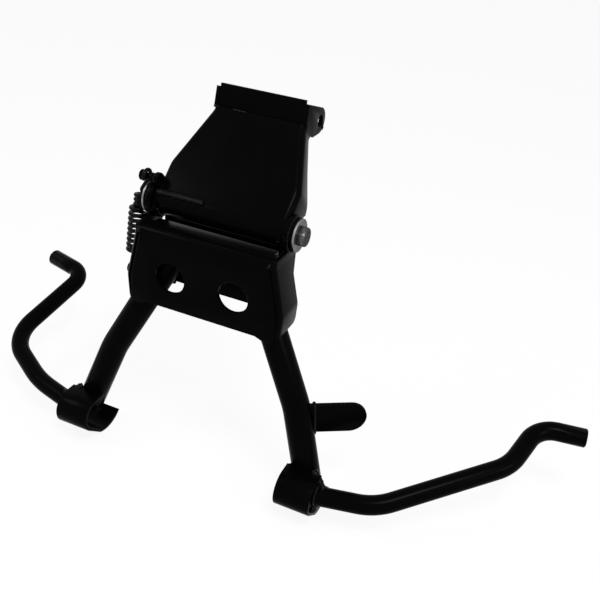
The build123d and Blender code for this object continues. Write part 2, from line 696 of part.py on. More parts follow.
def return_spring():
    """Make the extension spring: small turns, large turns and a hook at each end."""
    small, top, waist_small = helix_wire(0.0, SMALL_PITCH, SMALL_TURNS, SMALL_COIL_R)
    small_length = SMALL_PITCH * SMALL_TURNS
    shift = small_length + WAIST
    large, waist_large, bottom = helix_wire(shift, LARGE_PITCH, LARGE_TURNS, LARGE_COIL_R)
    end = shift + LARGE_PITCH * LARGE_TURNS
    down = (ANCHOR_Y - POST_Y, ANCHOR_Z - POST_Z)
    reach = hypot(*down)
    down = (down[0] / reach, down[1] / reach)
    up = (-down[0], -down[1])
    post_x = -HANGER_HALF - POST_SHANK - POST_NECK / 2
    beside_head = ANCHOR_HEAD + SPRING_KNUCKLE_R + WIRE_TO_HEAD
    anchor_x = -stand_half(ANCHOR_Z) + ANCHOR_SINK - ANCHOR_LENGTH + beside_head
    top_eye = hook_eye(post_x, POST_Y, POST_Z, POST_NECK_R, down)
    low_eye = hook_eye(anchor_x, ANCHOR_Y, ANCHOR_Z, ANCHOR_R, up)
    lift = 2 * SPRING_WIRE_R
    top_centre = coil_frame(-lift).origin
    low_centre = coil_frame(end + lift).origin
    spring = small + Pos(*top) * Sphere(SPRING_KNUCKLE_R) + link_wire([waist_small, waist_large])
    spring = spring + Pos(*waist_small) * Sphere(SPRING_KNUCKLE_R)
    spring = spring + Pos(*waist_large) * Sphere(SPRING_KNUCKLE_R) + large
    spring = spring + Pos(*bottom) * Sphere(SPRING_KNUCKLE_R)
    for eye, centre, rim in ((top_eye, top_centre, top), (low_eye, low_centre, bottom)):
        arm = link_wire([eye @ 1, centre, rim])
        spring = spring + wire_along(eye) + Pos(*(eye @ 1)) * Sphere(SPRING_KNUCKLE_R) + arm
    return spring


def main():
    """Write every piece."""
    plate = cross_plate()
    panel = rear_panel()
    save(hanger_bracket(), "hanger_bracket")
    save(cross_bar(), "hanger_cross_bar")
    save(pivot_tube(), "pivot_tube")
    save(bush(-1), "pivot_bush_left")
    save(bush(1), "pivot_bush_right")
    save(spring_post(), "spring_post")
    save(plate, "cross_plate")
    save(panel, "rear_panel")
    save(boss(-1), "pivot_boss_left")
    save(boss(1), "pivot_boss_right")
    save(pivot_pin(), "pivot_pin")
    save(washer(-1), "pivot_washer_left")
    save(washer(1), "pivot_washer_right")
    save(screw_left(), "pivot_screw_left")
    save(screw_right(), "pivot_screw_right")
    save(leg(-1, panel), "leg_left")
    save(leg(1, panel), "leg_right")
    save(foot(-1), "foot_left")
    save(foot(1), "foot_right")
    save(rod(-1, LEFT_ROD_ROUTE, LEFT_ROD_BENDS), "tread_rod_left")
    save(rod(1, RIGHT_ROD_ROUTE, RIGHT_ROD_BENDS), "tread_rod_right")
    save(rest_tab(), "rest_tab")
    save(spring_anchor(plate), "spring_anchor")
    save(return_spring(), "return_spring")


main()
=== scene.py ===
"""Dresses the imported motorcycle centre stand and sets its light, floor and camera.

Lengths in the classes are millimetres from the pivot axis, with X across the
motorcycle, Y to its rear and Z up. The function place turns them into metres in
the row frame.
"""

import json
import logging
from dataclasses import dataclass
from enum import Enum
from math import cos, pi, radians, sin

import bpy
from mathutils import Matrix, Vector

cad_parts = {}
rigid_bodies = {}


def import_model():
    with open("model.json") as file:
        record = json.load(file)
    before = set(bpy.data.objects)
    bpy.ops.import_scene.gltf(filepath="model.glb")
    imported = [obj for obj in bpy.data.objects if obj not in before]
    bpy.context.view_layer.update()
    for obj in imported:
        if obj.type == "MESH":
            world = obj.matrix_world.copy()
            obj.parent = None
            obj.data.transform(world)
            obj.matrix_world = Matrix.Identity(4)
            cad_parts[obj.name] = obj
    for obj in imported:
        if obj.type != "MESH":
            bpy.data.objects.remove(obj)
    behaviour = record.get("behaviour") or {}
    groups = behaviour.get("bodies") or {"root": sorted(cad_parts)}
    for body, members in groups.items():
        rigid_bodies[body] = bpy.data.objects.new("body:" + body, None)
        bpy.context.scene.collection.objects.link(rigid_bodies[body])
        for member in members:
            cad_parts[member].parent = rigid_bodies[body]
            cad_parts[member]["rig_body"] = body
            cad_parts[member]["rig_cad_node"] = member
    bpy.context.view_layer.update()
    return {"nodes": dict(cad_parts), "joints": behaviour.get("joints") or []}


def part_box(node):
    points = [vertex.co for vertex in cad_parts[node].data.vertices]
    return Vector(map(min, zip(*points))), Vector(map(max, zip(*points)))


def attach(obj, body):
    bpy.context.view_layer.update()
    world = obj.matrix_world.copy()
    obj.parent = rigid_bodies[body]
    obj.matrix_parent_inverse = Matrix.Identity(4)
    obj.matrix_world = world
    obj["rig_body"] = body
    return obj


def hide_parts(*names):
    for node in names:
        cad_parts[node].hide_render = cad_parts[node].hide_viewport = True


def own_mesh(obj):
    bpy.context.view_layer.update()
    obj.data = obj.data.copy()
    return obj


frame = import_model()

log = logging.getLogger("centre_stand")
Point = tuple[float, float, float]
Colour = tuple[float, float, float]
Pair = tuple[float, float]

MM = 0.001
PIVOT = Vector([j for j in frame["joints"] if j["name"] == "stand_pivot"][0]["pos_m"])
SIDES = (("left", -1), ("right", 1))
WHITE = (1.0, 1.0, 1.0, 1.0)


class Body(str, Enum):
    """The bodies of the motion model."""

    HANGER = "hanger"
    STAND = "stand"
    SPRING = "spring"


def place(x: float, y: float, z: float) -> Vector:
    """Turn a point in millimetres from the pivot into metres in the row frame."""
    return PIVOT + Vector((x, y, z)) * MM


def clear_selection() -> None:
    """Deselect everything in the view layer."""
    bpy.ops.object.select_all(action="DESELECT")


def make_active(piece: bpy.types.Object) -> None:
    """Select one object alone and make it the active one.

    Args:
        piece: the object to select.
    """
    clear_selection()
    piece.select_set(True)
    bpy.context.view_layer.objects.active = piece


def apply_modifiers(piece: bpy.types.Object) -> None:
    """Apply every modifier on a piece, in order.

    Args:
        piece: the object whose modifiers are applied.
    """
    make_active(piece)
    for modifier in list(piece.modifiers):
        bpy.ops.object.modifier_apply(modifier=modifier.name)


def bake_place(piece: bpy.types.Object) -> None:
    """Move a piece's place, turn and scale into its mesh."""
    make_active(piece)
    bpy.ops.object.transform_apply(location=True, rotation=True, scale=True)


def join_all(pieces: list[bpy.types.Object], name: str) -> bpy.types.Object:
    """Join meshes into one named piece.

    Args:
        pieces: the meshes to join; the first one receives the others.
        name: the name of the joined piece.

    Returns:
        The joined piece.
    """
    clear_selection()
    for piece in pieces:
        piece.select_set(True)
    bpy.context.view_layer.objects.active = pieces[0]
    if len(pieces) > 1:
        bpy.ops.object.join()
    joined = bpy.context.view_layer.objects.active
    joined.name = name
    joined.data.name = name
    return joined


def smooth(piece: bpy.types.Object, angle: float) -> None:
    """Shade a piece smooth, with creases sharper than an angle in degrees kept."""
    make_active(piece)
    bpy.ops.object.shade_smooth_by_angle(angle=radians(angle))


def mirrored(route: tuple[Point, ...], sign: int) -> list[Point]:
    """Give a route for the right side, or for the left when the sign is -1."""
    return [(sign * x, y, z) for x, y, z in route]


def ring_route(x: float, radius: float, y: float = 0.0, z: float = 0.0, start: float = 0.0,
               sweep: float = 360.0, steps: int = 40) -> list[Point]:
    """Give the points of an arc round an axis along X.

    Args:
        x: place of the arc along X.
        radius: radius of the arc.
        y: centre of the arc along Y.
        z: centre of the arc along Z.
        start: angle of the first point in degrees, from +Y towards +Z.
        sweep: angle that the arc covers in degrees.
        steps: number of equal parts.

    Returns:
        The points, in millimetres from the pivot.
    """
    angles = [radians(start + sweep * i / steps) for i in range(steps + 1)]
    return [(x, y + radius * cos(a), z + radius * sin(a)) for a in angles]


class NodeGraph:
    """The shader nodes and links of one material or world."""

    def __init__(self, owner: bpy.types.Material | bpy.types.World) -> None:
        """Take hold of the owner's nodes and clear them.

        Args:
            owner: the material or world that the nodes belong to.
        """
        owner.use_nodes = True
        self.nodes = owner.node_tree.nodes
        self.links = owner.node_tree.links
        self.nodes.clear()

    def add(self, kind: str, **values: float | tuple[float, ...]) -> bpy.types.Node:
        """Add a node and set its inputs.

        Args:
            kind: the node's type.
            values: the inputs' names and their constant values.

        Returns:
            The new node.
        """
        node = self.nodes.new(kind)
        for name, value in values.items():
            node.inputs[name].default_value = value
        return node

    def link(self, start: bpy.types.NodeSocket, end: bpy.types.NodeSocket) -> None:
        """Join an output to an input."""
        self.links.new(start, end)

    def noise(self, size_mm: float, detail: float) -> bpy.types.NodeSocket:
        """Add a noise that reads object coordinates.

        Args:
            size_mm: size of its grain.
            detail: number of finer layers in it.

        Returns:
            Its value, from 0 to 1.
        """
        source = self.add("ShaderNodeTexCoord")
        noise = self.add("ShaderNodeTexNoise", Scale=1.0 / (size_mm * MM), Detail=detail)
        self.link(source.outputs["Object"], noise.inputs["Vector"])
        return noise.outputs["Fac"]

    def math(self, operation: str, first: bpy.types.NodeSocket,
             second: bpy.types.NodeSocket | float) -> bpy.types.NodeSocket:
        """Work out one value from two.

        Args:
            operation: the name of the operation.
            first: the first value.
            second: the second value, or a constant.

        Returns:
            The result.
        """
        node = self.add("ShaderNodeMath")
        node.operation = operation
        self.link(first, node.inputs[0])
        if isinstance(second, float):
            node.inputs[1].default_value = second
        else:
            self.link(second, node.inputs[1])
        return node.outputs[0]

    def seen_rays(self) -> bpy.types.NodeSocket:
        """Tell rays that show a surface from rays that light it.

        Returns:
            A factor that is 1 on camera, glossy and transmission rays, and else 0.
        """
        path = self.add("ShaderNodeLightPath")
        seen = self.math("MAXIMUM", path.outputs["Is Camera Ray"], path.outputs["Is Glossy Ray"])
        return self.math("MAXIMUM", seen, path.outputs["Is Transmission Ray"])

    def blend_to_surface(self, factor: bpy.types.NodeSocket, base: bpy.types.NodeSocket,
                         over: bpy.types.NodeSocket, output_kind: str) -> None:
        """Blend two shaders and lead the result to the surface output.

        Args:
            factor: share of the second shader.
            base: the first shader.
            over: the second shader.
            output_kind: the type of the output node.
        """
        mix = self.add("ShaderNodeMixShader")
        self.link(factor, mix.inputs["Fac"])
        self.link(base, mix.inputs[1])
        self.link(over, mix.inputs[2])
        self.link(mix.outputs["Shader"], self.add(output_kind).inputs["Surface"])


@dataclass(frozen=True)
class Finish:
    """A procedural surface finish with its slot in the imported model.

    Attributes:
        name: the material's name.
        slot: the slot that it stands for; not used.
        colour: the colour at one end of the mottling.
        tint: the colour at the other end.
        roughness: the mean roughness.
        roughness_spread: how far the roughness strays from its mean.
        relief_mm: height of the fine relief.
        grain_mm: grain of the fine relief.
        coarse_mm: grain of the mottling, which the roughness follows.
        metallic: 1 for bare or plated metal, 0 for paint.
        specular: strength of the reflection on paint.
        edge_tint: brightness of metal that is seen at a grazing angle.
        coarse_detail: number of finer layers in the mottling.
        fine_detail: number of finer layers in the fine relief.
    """

    name: str
    slot: str
    colour: Colour
    tint: Colour
    roughness: float
    roughness_spread: float
    relief_mm: float
    grain_mm: float
    coarse_mm: float
    metallic: float = 1.0
    specular: float = 0.5
    edge_tint: float = 1.0
    coarse_detail: float = 3.0
    fine_detail: float = 5.0

    def material(self) -> bpy.types.Material:
        """Build the material, unless it is there already.

        Returns:
            The material.
        """
        known = bpy.data.materials.get(self.name)
        if known:
            return known
        made = bpy.data.materials.new(self.name)
        graph = NodeGraph(made)
        shader = graph.add("ShaderNodeBsdfPrincipled", Metallic=self.metallic)
        shader.inputs["Specular IOR Level"].default_value = self.specular
        shader.inputs["Specular Tint"].default_value = (*(self.edge_tint,) * 3, 1.0)
        coarse = graph.noise(self.coarse_mm, self.coarse_detail)
        self._mottle(graph, coarse, shader)
        self._relief(graph, shader)
        output = graph.add("ShaderNodeOutputMaterial")
        graph.link(shader.outputs["BSDF"], output.inputs["Surface"])
        return made

    def _mottle(self, graph: NodeGraph, coarse: bpy.types.NodeSocket, shader: bpy.types.Node) -> None:
        """Vary the colour and the roughness.

        Args:
            graph: the nodes that it is added to.
            coarse: the noise that both follow.
            shader: the shader that shows them.
        """
        mix = graph.add("ShaderNodeMix")
        mix.data_type = "RGBA"
        mix.inputs["A"].default_value = (*self.colour, 1.0)
        mix.inputs["B"].default_value = (*self.tint, 1.0)
        graph.link(coarse, mix.inputs["Factor"])
        graph.link(mix.outputs["Result"], shader.inputs["Base Color"])
        gloss = graph.add("ShaderNodeMapRange")
        gloss.inputs["To Min"].default_value = self.roughness - self.roughness_spread
        gloss.inputs["To Max"].default_value = self.roughness + self.roughness_spread
        graph.link(coarse, gloss.inputs["Value"])
        graph.link(gloss.outputs["Result"], shader.inputs["Roughness"])

    def _relief(self, graph: NodeGraph, shader: bpy.types.Node) -> None:
        """Roughen the surface a little.

        Args:
            graph: the nodes that it is added to.
            shader: the shader that shows it.
        """
        bump = graph.add("ShaderNodeBump", Strength=1.0, Distance=self.relief_mm * MM)
        graph.link(graph.noise(self.grain_mm, self.fine_detail), bump.inputs["Height"])
        graph.link(bump.outputs["Normal"], shader.inputs["Normal"])

    def put_on(self, piece: bpy.types.Object) -> None:
        """Give a piece this finish alone."""
        piece.data.materials.clear()
        piece.data.materials.append(self.material())


ENAMEL = Finish(
    "black_enamel", "black_paint", (0.0007, 0.0007, 0.0008), (0.0015, 0.0015, 0.0017),
    roughness=0.22, roughness_spread=0.05, relief_mm=0.010, grain_mm=1.8, coarse_mm=34.0,
    metallic=0.0, specular=0.014)
WELD_ENAMEL = Finish(
    "black_enamel_on_weld", "black_paint", (0.0012, 0.0012, 0.0013), (0.0022, 0.0022, 0.0024),
    roughness=0.14, roughness_spread=0.05, relief_mm=0.060, grain_mm=0.8, coarse_mm=5.0,
    metallic=0.0, specular=0.075)
ZINC = Finish(
    "washer_zinc", "zinc_plate", (0.32, 0.32, 0.325), (0.13, 0.13, 0.134),
    roughness=0.34, roughness_spread=0.08, relief_mm=0.010, grain_mm=0.5, coarse_mm=4.5,
    edge_tint=0.45)
# Painted shade and highlight: the bolt head's zinc is mottled between mid grey and near black, so its
# dark and light patches stand in for the shade and reflections that light gives its faces.
HEAD_ZINC_PAINTED_SHADE = Finish(
    "zinc_with_painted_shade", "zinc_plate", (0.16, 0.16, 0.165), (0.006, 0.006, 0.007),
    roughness=0.28, roughness_spread=0.08, relief_mm=0.020, grain_mm=0.6, coarse_mm=2.6,
    edge_tint=0.40)
DULL_ZINC = Finish(
    "dull_zinc", "dark_zinc", (0.12, 0.12, 0.125), (0.05, 0.05, 0.053),
    roughness=0.38, roughness_spread=0.08, relief_mm=0.010, grain_mm=0.5, coarse_mm=6.0)
GROUND_STEEL = Finish(
    "ground_steel", "pin_steel", (0.42, 0.42, 0.43), (0.34, 0.34, 0.35),
    roughness=0.32, roughness_spread=0.05, relief_mm=0.004, grain_mm=0.4, coarse_mm=8.0)
BRONZE = Finish(
    "sintered_bronze", "bush_bronze", (0.36, 0.23, 0.11), (0.26, 0.16, 0.08),
    roughness=0.45, roughness_spread=0.08, relief_mm=0.010, grain_mm=0.4, coarse_mm=5.0)
SPRING_WIRE = Finish(
    "oiled_spring_wire", "spring_black", (0.0010, 0.0010, 0.0011), (0.0024, 0.0024, 0.0026),
    roughness=0.24, roughness_spread=0.06, relief_mm=0.006, grain_mm=0.5, coarse_mm=7.0,
    metallic=0.0, specular=0.06)


@dataclass(frozen=True)
class Fold:
    """The rounded outer edges where a sheet's front turns into its cheeks.

    Attributes:
        radius: radius of the rounded edge.
        beyond: distance from the middle, along X, past which the edges lie.
        front: the way that the sheet's front faces.
        wrap_radius: distance from the pivot within which the front curves round it.
        front_share: how squarely a face looks ahead, to be part of the front.
        wrap_share: the same where the front curves.
        front_across: how far a face of the front may look sideways.
        cheek_share: how squarely a face looks sideways, to be part of a cheek.
        segments: steps of the rounding.
    """

    radius: float
    beyond: float
    front: Point = (0.0, -1.0, 0.0)
    wrap_radius: float = 0.0
    front_share: float = 0.96
    wrap_share: float = 0.5
    front_across: float = 0.3
    cheek_share: float = 0.9
    segments: int = 6

    def _on_fold(self, middle: Vector, normals: list[Vector]) -> bool:
        """Tell whether an edge lies where the front turns into a cheek.

        Args:
            middle: the edge's middle, in metres from the pivot.
            normals: the normals of the faces beside it.

        Returns:
            True on the fold.
        """
        outer = abs(middle.x) > self.beyond * MM
        curved = Vector((0.0, middle.y, middle.z)).length < self.wrap_radius * MM
        share = self.wrap_share if curved else self.front_share
        front = Vector(self.front).normalized()
        ahead = any(n.dot(front) > share and abs(n.x) < self.front_across for n in normals)
        aside = any(abs(n.x) > self.cheek_share for n in normals)
        return outer and ahead and aside

    def round_off(self, piece: bpy.types.Object) -> None:
        """Round the piece's edges on the fold.

        Args:
            piece: the folded sheet.
        """
        mesh = piece.data
        beside: dict[tuple[int, int], list[Vector]] = {}
        for polygon in mesh.polygons:
            for key in polygon.edge_keys:
                beside.setdefault(key, []).append(polygon.normal.copy())
        weights = mesh.attributes.new("bevel_weight_edge", "FLOAT", "EDGE")
        for edge in mesh.edges:
            first, second = (mesh.vertices[i].co for i in edge.vertices)
            middle = (first + second) / 2 - PIVOT
            weights.data[edge.index].value = float(self._on_fold(middle, beside.get(edge.key, [])))
        bevel = piece.modifiers.new("fold", "BEVEL")
        bevel.width = self.radius * MM
        bevel.segments = self.segments
        bevel.limit_method = "WEIGHT"
        bevel.use_clamp_overlap = False
        apply_modifiers(piece)


@dataclass
class DressedNode:
    """A CAD node shown as a copy with eased edges and a finish.

    Attributes:
        node: the node's name.
        body: the body that it rides on.
        finish: its finish.
        edge: width of its eased edges; 0 leaves them as they are.
        segments: steps of an eased edge.
        crease: angle in degrees past which an edge is eased and stays a crease.
        merge: distance within which corners are merged.
        fold: its rounded folds, on a folded sheet.
        flat: angle in degrees below which neighbouring faces are made one.
        speck: length below which an edge is removed.
    """

    node: str
    body: Body
    finish: Finish
    edge: float
    segments: int = 2
    crease: float = 32.0
    merge: float = 0.03
    fold: Fold | None = None
    flat: float = 0.6
    speck: float = 0.03

    def _copy(self) -> bpy.types.Object:
        """Copy the node as a plain object of its own.

        Returns:
            The copy.
        """
        source = frame["nodes"][self.node]
        piece = source.copy()
        piece.data = source.data.copy()
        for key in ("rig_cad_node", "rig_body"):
            if key in piece:
                del piece[key]
        piece.parent = None
        piece.name = f"{self.node}_dressed"
        bpy.context.scene.collection.objects.link(piece)
        return piece

    def _merge(self, piece: bpy.types.Object) -> None:
        """Merge the copy's loose triangles into whole faces.

        Args:
            piece: the copy.
        """
        make_active(piece)
        bpy.ops.object.mode_set(mode="EDIT")
        bpy.ops.mesh.select_all(action="SELECT")
        bpy.ops.mesh.remove_doubles(threshold=self.merge * MM)
        bpy.ops.mesh.dissolve_limited(angle_limit=radians(self.flat))
        bpy.ops.mesh.dissolve_degenerate(threshold=self.speck * MM)
        bpy.ops.mesh.normals_make_consistent(inside=False)
        bpy.ops.object.mode_set(mode="OBJECT")

    def _ease(self, piece: bpy.types.Object) -> None:
        """Ease the edges that are sharper than the crease angle.

        Args:
            piece: the copy.
        """
        bevel = piece.modifiers.new("edge", "BEVEL")
        bevel.width = self.edge * MM
        bevel.segments = self.segments
        bevel.limit_method = "ANGLE"
        bevel.angle_limit = radians(self.crease)
        bevel.use_clamp_overlap = False
        bevel.harden_normals = False
        apply_modifiers(piece)

    def _keep_inside(self, piece: bpy.types.Object) -> None:
        """Pull any corner that an eased edge pushed out back into the solid's box.

        Args:
            piece: the copy.
        """
        low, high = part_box(self.node)
        for vertex in piece.data.vertices:
            vertex.co = [min(max(c, a), b) for c, a, b in zip(vertex.co, low, high)]

    def build(self) -> None:
        """Copy the node, ease its edges, finish it and put it on its body."""
        piece = self._copy()
        self._merge(piece)
        if self.fold:
            self.fold.round_off(piece)
        if self.edge > 0:
            self._ease(piece)
        self._keep_inside(piece)
        smooth(piece, self.crease)
        self.finish.put_on(piece)
        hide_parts(self.node)
        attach(piece, self.body.value)
        log.info("dressed %s", self.node)


@dataclass(frozen=True)
class BeadSize:
    """The width and height of a weld bead, and the step from ripple to ripple."""

    width: float
    height: float
    pitch: float = 1.25


@dataclass
class WeldBead:
    """A weld bead: overlapping ripples along a route.

    Attributes:
        name: the bead's name.
        body: the body that it rides on.
        route: the points that it follows.
        size: its size.
        closed: whether it runs on from its last point to its first.
        overlap: length of a ripple, in pitches.
        lean: how far each ripple leans back, in degrees.
        quick_wave, slow_wave: how much the ripples' size varies, and how fast.
        slow_start: where the slow wave starts.
        sides, rings: faces round a ripple and along it.
        crease: angle in degrees past which an edge stays a crease.
    """

    name: str
    body: Body
    route: list[Point]
    size: BeadSize
    closed: bool = False
    overlap: float = 1.8
    lean: float = -30.0
    quick_wave: Pair = (0.11, 1.7)
    slow_wave: Pair = (0.07, 0.61)
    slow_start: float = 1.0
    sides: int = 14
    rings: int = 9
    crease: float = 80.0

    def _stations(self) -> list[tuple[Vector, Vector]]:
        """Space the ripples evenly along the route.

        Returns:
            Each ripple's place and direction.
        """
        points = [Vector(p) for p in self.route]
        if self.closed:
            points.append(points[0])
        stations = []
        carried = 0.0
        for start, end in zip(points, points[1:]):
            run = (end - start).length
            heading = (end - start).normalized()
            while carried <= run:
                stations.append((start + heading * carried, heading))
                carried += self.size.pitch
            carried -= run
        return stations

    def _swell(self, index: int) -> float:
        """Vary a ripple's size by two waves that run along the bead.

        Args:
            index: the ripple's number in the bead.

        Returns:
            Its size, where 1 is the bead's own.
        """
        quick, quick_rate = self.quick_wave
        slow, slow_rate = self.slow_wave
        return 1.0 + quick * sin(index * quick_rate) + slow * sin(index * slow_rate + self.slow_start)

    def _ripple(self) -> bpy.types.Object:
        """Model one ripple at the origin, from a ball one unit across.

        Returns:
            The ripple, with its lengths in millimetres.
        """
        clear_selection()
        bpy.ops.mesh.primitive_uv_sphere_add(segments=self.sides, ring_count=self.rings, radius=0.5)
        ripple = bpy.context.active_object
        size = self.size
        bpy.ops.transform.resize(value=(self.overlap * size.pitch, size.width, size.height))
        bake_place(ripple)
        return ripple

    def build(self) -> None:
        """Copy one ripple along the route and join the copies."""
        ripple = self._ripple()
        lean = Matrix.Rotation(radians(self.lean), 4, "Y")
        copies = []
        for index, (centre, heading) in enumerate(self._stations()):
            turn = heading.to_track_quat("X", "Z").to_matrix().to_4x4()
            scale = Matrix.Scale(MM * self._swell(index), 4)
            copy = bpy.data.objects.new(f"{self.name}_{index}", ripple.data.copy())
            copy.data.transform(Matrix.Translation(place(*centre)) @ turn @ lean @ scale)
            bpy.context.scene.collection.objects.link(copy)
            copies.append(copy)
        bpy.data.objects.remove(ripple)
        bead = join_all(copies, self.name)
        smooth(bead, self.crease)
        WELD_ENAMEL.put_on(bead)
        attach(bead, self.body.value)
        log.info("weld %s", self.name)


@dataclass
class Hanger:
    """The hanger bracket with its cross bar, pivot tube, bushes and spring post.

    Attributes:
        half_width: distance from the middle to a cheek's outer face.
        sheet: thickness of the bracket's sheet.
        fold: the bracket's rounded folds.
        tube_radius: outer radius of the pivot tube.
        tube_arc: start and sweep of the bead round each end of the tube, in degrees.
        tube_arc_inset: distance of that bead from the cheek.
        tube_arc_proud: distance of that bead from the tube.
        tube_bead: size of that bead.
        seam: place in Y and Z of the bead between the tube and the sheet.
        seam_ends: ends of that bead in X.
        seam_bead: size of that bead.
        bar_seam: place in Y and Z of the beads under the cross bar.
        bar_ends: ends of each of those beads in X.
        bar_bead: size of those beads.
        post: place in Y and Z of the spring post.
        post_ring_out: distance of the post's bead from the cheek.
        post_ring_radius: radius of that bead.
        post_bead: size of that bead.
    """

    half_width: float = 65.0
    sheet: float = 4.0
    fold: Fold = Fold(radius=4.5, beyond=40.0, front=(0.0, -0.683, 0.730), wrap_radius=17.6)
    tube_radius: float = 13.0
    tube_arc: Pair = (200.0, 150.0)
    tube_arc_inset: float = 0.6
    tube_arc_proud: float = 0.4
    tube_bead: BeadSize = BeadSize(3.6, 2.6)
    seam: Pair = (-8.6, 10.6)
    seam_ends: Pair = (-60.5, -16.0)
    seam_bead: BeadSize = BeadSize(6.4, 5.6, 2.0)
    bar_seam: Pair = (62.7, 74.4)
    bar_ends: tuple[Pair, ...] = ((-45.0, -40.5), (-25.0, -12.0))
    bar_bead: BeadSize = BeadSize(3.8, 2.6)
    post: Pair = (-5.0, 21.0)
    post_ring_out: float = 0.3
    post_ring_radius: float = 4.4
    post_bead: BeadSize = BeadSize(2.2, 1.6, 1.0)

    def build(self) -> None:
        """Dress the hanger's nodes and add its welds."""
        body = Body.HANGER
        DressedNode("hanger_bracket", body, ENAMEL, edge=0.5, segments=3, fold=self.fold).build()
        DressedNode("hanger_cross_bar", body, ENAMEL, edge=0.5, segments=3).build()
        DressedNode("pivot_tube", body, ENAMEL, edge=0.4).build()
        DressedNode("spring_post", body, ENAMEL, edge=0.3).build()
        for side, _ in SIDES:
            DressedNode(f"pivot_bush_{side}", body, BRONZE, edge=0.3).build()
        self._tube_welds()
        self._bar_and_post_welds()

    def _tube_welds(self) -> None:
        """Weld the pivot tube along the sheet's edge and to both cheeks."""
        seam = [(x, *self.seam) for x in self.seam_ends]
        WeldBead("weld_tube_seam", Body.HANGER, seam, self.seam_bead).build()
        start, sweep = self.tube_arc
        inside = self.half_width - self.sheet - self.tube_arc_inset
        radius = self.tube_radius + self.tube_arc_proud
        for side, sign in SIDES:
            arc = ring_route(sign * inside, radius, start=start, sweep=sweep)
            WeldBead(f"weld_tube_end_{side}", Body.HANGER, arc, self.tube_bead).build()

    def _bar_and_post_welds(self) -> None:
        """Weld the cross bar with short beads and the spring post with a ring."""
        for number, ends in enumerate(self.bar_ends):
            route = [(x, *self.bar_seam) for x in ends]
            WeldBead(f"weld_bar_{number}", Body.HANGER, route, self.bar_bead).build()
        x = -self.half_width - self.post_ring_out
        ring = ring_route(x, self.post_ring_radius, *self.post)
        WeldBead("weld_post", Body.HANGER, ring[:-1], self.post_bead, closed=True).build()


@dataclass
class Pivot:
    """The pin with its bosses, washers and screws.

    Attributes:
        boss_radius: outer radius of a boss.
        cheek_face: distance from the middle to the outer face of the stand's cheek.
        bead_out: distance of a boss's bead from that face.
        bead_proud: distance of the bead from the boss.
        bead_steps: points round the bead.
        boss_bead: size of the bead.
    """

    boss_radius: float = 15.5
    cheek_face: float = 69.5
    bead_out: float = 0.2
    bead_proud: float = 0.1
    bead_steps: int = 60
    boss_bead: BeadSize = BeadSize(1.6, 2.0, 1.0)

    def build(self) -> None:
        """Dress the pivot's nodes and weld the bosses to the cheeks."""
        body = Body.STAND
        DressedNode("pivot_pin", body, GROUND_STEEL, edge=0.3).build()
        DressedNode("pivot_screw_left", body, DULL_ZINC, edge=0.25).build()
        # The right screw's head carries painted shade and highlight in its mottled zinc.
        DressedNode("pivot_screw_right", body, HEAD_ZINC_PAINTED_SHADE, edge=0.35).build()
        for side, sign in SIDES:
            DressedNode(f"pivot_boss_{side}", body, ENAMEL, edge=0.6, segments=3).build()
            DressedNode(f"pivot_washer_{side}", body, ZINC, edge=0.0).build()
            x = sign * (self.cheek_face + self.bead_out)
            ring = ring_route(x, self.boss_radius + self.bead_proud, steps=self.bead_steps)
            WeldBead(f"weld_boss_{side}", body, ring[:-1], self.boss_bead, closed=True).build()


